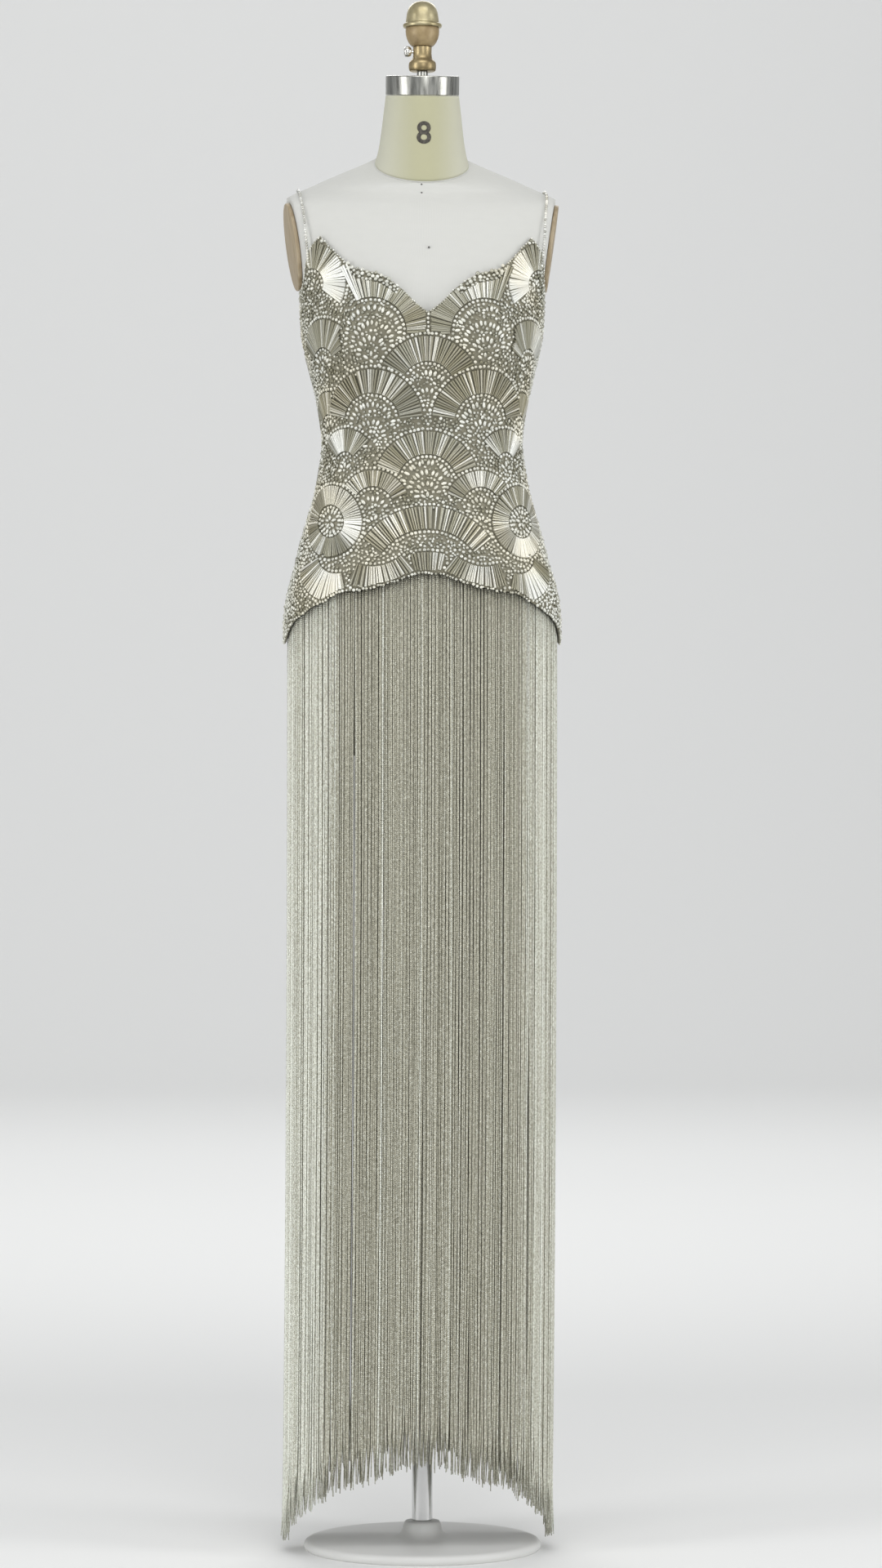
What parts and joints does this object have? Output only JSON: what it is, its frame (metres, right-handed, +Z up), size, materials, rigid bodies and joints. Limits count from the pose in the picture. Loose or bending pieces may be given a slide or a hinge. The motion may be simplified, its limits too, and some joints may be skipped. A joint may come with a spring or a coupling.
{
  "type": "beaded evening dress on a dress form",
  "caption": "Beaded evening dress with a shaped fan-beaded bodice, thin straps and a floor-length bead fringe, worn by a limbless dress form on a pole and round base.",
  "frame": {"origin": "on the floor, at the centre of the round base's underside, below the pole's axis", "axes": "+Z up along the pole, the dress's front faces -Y, the wearer's left side is +X"},
  "size_m": [0.339, 0.29, 1.893],
  "materials": {
    "beaded_cloth": "silver bugle and round glass beads on net",
    "fringe_beads": "strung silver glass beads",
    "strap_beads": "strung silver glass beads",
    "form_cover": "matt off-white linen",
    "neck_cover": "matt cream linen",
    "arm_plate_board": "satin tan board",
    "neck_cap_steel": "brushed",
    "knob_brass": "satin",
    "knob_bulb_wood": "varnished",
    "knob_dome_brass": "satin",
    "thumb_screw_steel": "bright",
    "pole_chrome": "polished",
    "stand_paint": "satin light grey"
  },
  "bodies": {
    "dressed_form": {"bodice_front": "beaded_cloth", "bodice_back_left": "beaded_cloth", "bodice_back_right": "beaded_cloth", "fringe_front": "fringe_beads", "fringe_back_left": "fringe_beads", "fringe_back_right": "fringe_beads", "strap_left": "strap_beads", "strap_right": "strap_beads", "form_torso": "form_cover", "form_neck": "neck_cover", "arm_plate_left": "arm_plate_board", "arm_plate_right": "arm_plate_board", "neck_cap": "neck_cap_steel", "knob_rod": "neck_cap_steel", "knob_stem": "knob_brass", "knob_bulb": "knob_bulb_wood", "knob_dome": "knob_dome_brass", "stand_pole": "pole_chrome", "stand_base": "stand_paint"},
    "thumb_screw": {"thumb_screw": "thumb_screw_steel"}
  },
  "joints": [
    {"name": "thumb_screw_turn", "type": "hinge", "parent": "dressed_form", "child": "thumb_screw", "pos_m": [-0.0225, -0.003, 1.831], "axis": [-1, 0, 0], "range_deg": [0, 360]}
  ]
}
